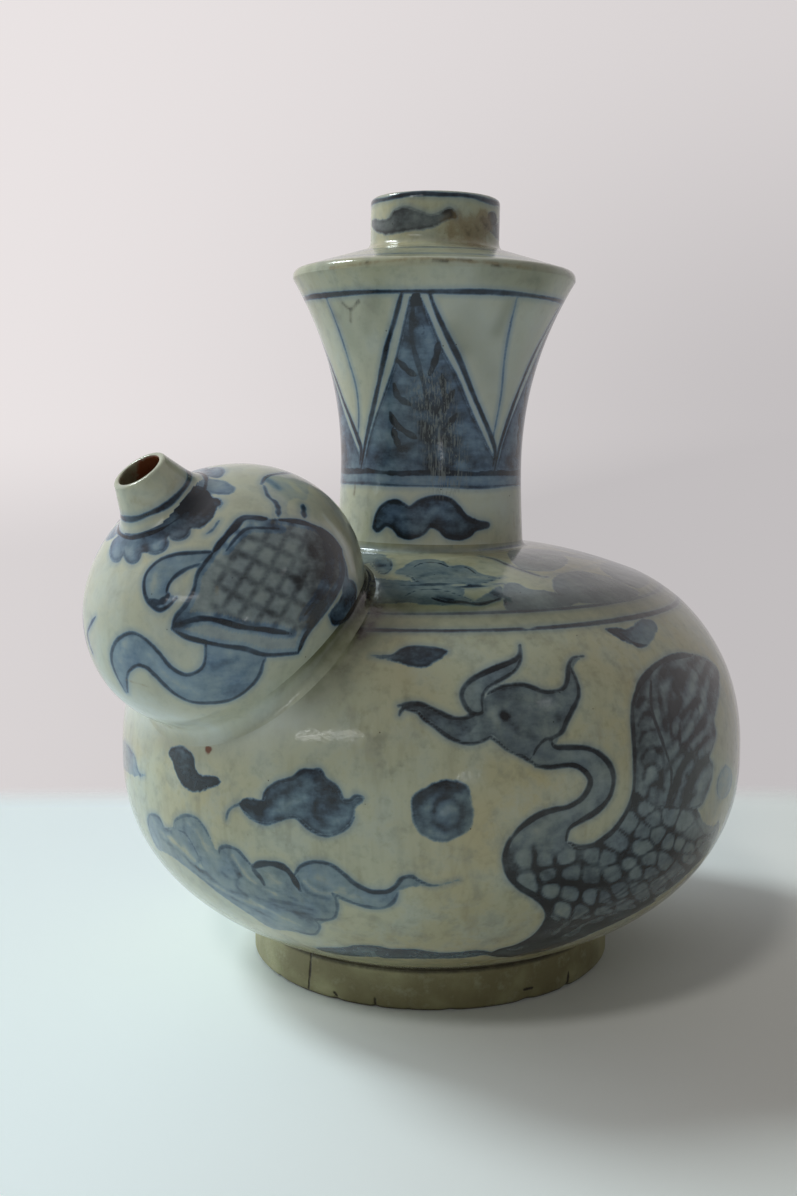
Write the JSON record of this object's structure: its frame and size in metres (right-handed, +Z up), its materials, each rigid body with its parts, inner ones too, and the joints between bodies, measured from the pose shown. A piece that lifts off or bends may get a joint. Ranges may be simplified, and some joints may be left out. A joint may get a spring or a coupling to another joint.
{
  "type": "kendi drinking vessel",
  "caption": "Round-bellied porcelain drinking vessel with a waisted neck, a flanged mouth and a bulbous side spout, on a bare foot ring.",
  "frame": {"origin": "centre of the foot ring's standing face, on the table", "axes": "+Z up along the body's axis, -Y towards the spout, +X to the right seen from the spout's side"},
  "size_m": [0.17, 0.1881, 0.2053],
  "materials": {
    "glaze": "glossy cream-green glaze over cobalt painting",
    "bare_clay": "bare fired clay, worn and stained",
    "slip": "fired luting slip"
  },
  "bodies": {
    "root": {"foot_ring": "bare_clay", "foot_seam": "slip", "lower_body": "glaze", "belly_seam": "slip", "upper_body": "glaze", "neck_seam": "slip", "neck": "glaze", "flange_seam": "slip", "mouth": "glaze", "spout_bulb": "glaze", "bulb_seam": "slip", "spout_nozzle": "glaze", "nozzle_seam": "slip"}
  },
  "joints": []
}
